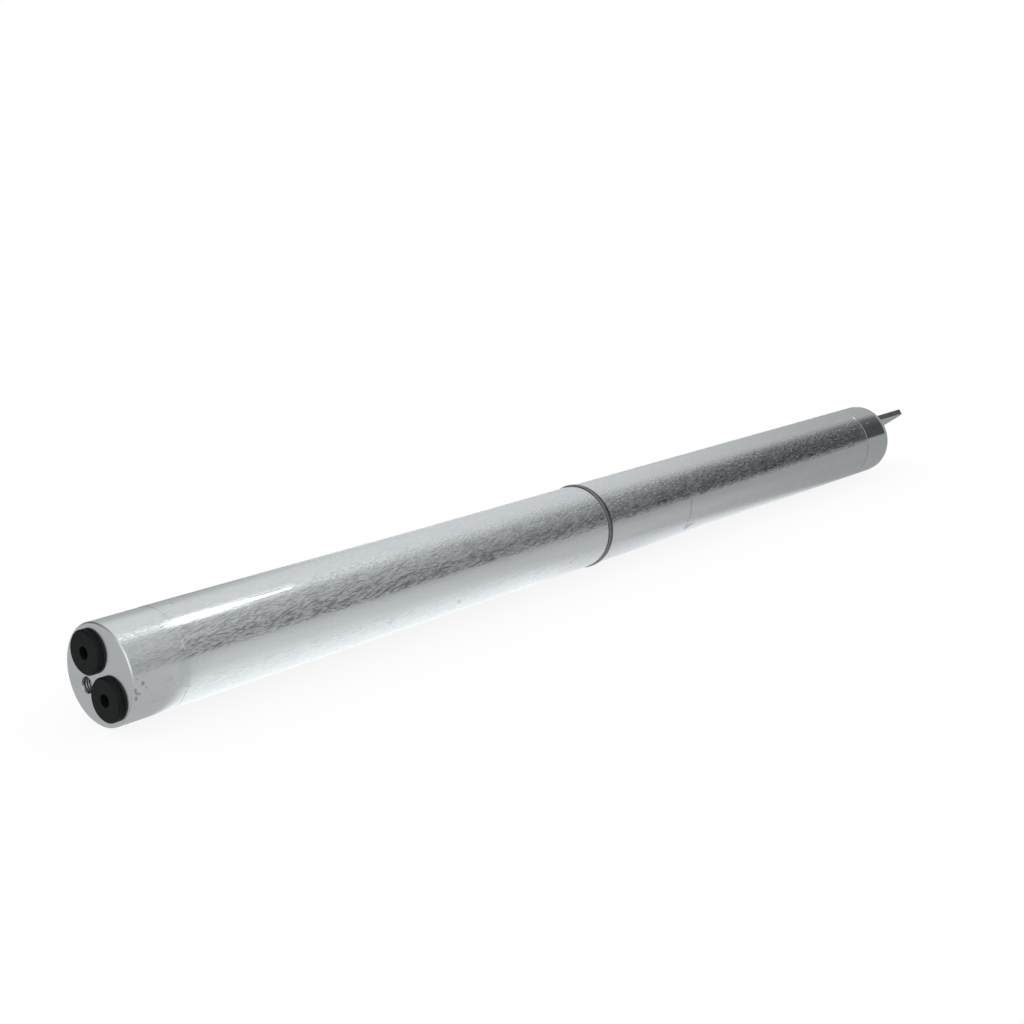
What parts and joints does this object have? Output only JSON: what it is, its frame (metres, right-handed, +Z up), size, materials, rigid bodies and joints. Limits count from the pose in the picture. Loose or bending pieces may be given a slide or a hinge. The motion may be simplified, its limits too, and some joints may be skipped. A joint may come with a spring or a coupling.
{
  "type": "filter drier",
  "caption": "Long round aluminium filter drier with pipe ports and a threaded fixing hole in its head, a girth weld half way and a flat lug on the far end.",
  "frame": {"origin": "centre of the head face, on the tube's axis", "axes": "+X along the tube from the head to the far end, +Z up as it lies, +Y to the left seen along +X"},
  "size_m": [0.7574, 0.0516, 0.0516],
  "materials": {
    "drawn_aluminium": "bright drawn metal with fine scuffs",
    "weld_metal": "smooth weld, slightly tinted by heat",
    "lug_aluminium": "plain plate with rough sheared edges",
    "black_rubber": "matt moulded rubber",
    "pressed_aluminium": "plain pressed sheet",
    "spring_steel": "bright wire",
    "felt": "soft felt",
    "desiccant": "bed of small round beads",
    "pipe_aluminium": "drawn pipe",
    "green_rubber": "smooth rubber",
    "white_nylon": "moulded plastic",
    "steel_mesh": "fine woven screen"
  },
  "bodies": {
    "drier": {"near_shell": "drawn_aluminium", "far_shell": "drawn_aluminium", "girth_weld": "weld_metal", "mounting_lug": "lug_aluminium", "lug_welds": "weld_metal", "inlet_baffle": "pressed_aluminium", "column_spring": "spring_steel", "upper_plate": "pressed_aluminium", "upper_pad": "felt", "desiccant_bed": "desiccant", "lower_pad": "felt", "lower_plate": "pressed_aluminium", "pickup_pipe": "pipe_aluminium", "pickup_seal": "green_rubber", "tube_spacer": "white_nylon", "strainer_frame": "white_nylon", "strainer_mesh": "steel_mesh"},
    "inlet_plug": {"inlet_plug": "black_rubber"},
    "outlet_plug": {"outlet_plug": "black_rubber"}
  },
  "joints": [
    {"name": "inlet_plug_pull", "type": "slide", "parent": "drier", "child": "inlet_plug", "axis": [-1, 0, 0], "range_m": [0, 0.03]},
    {"name": "outlet_plug_pull", "type": "slide", "parent": "drier", "child": "outlet_plug", "axis": [-1, 0, 0], "range_m": [0, 0.03]}
  ]
}
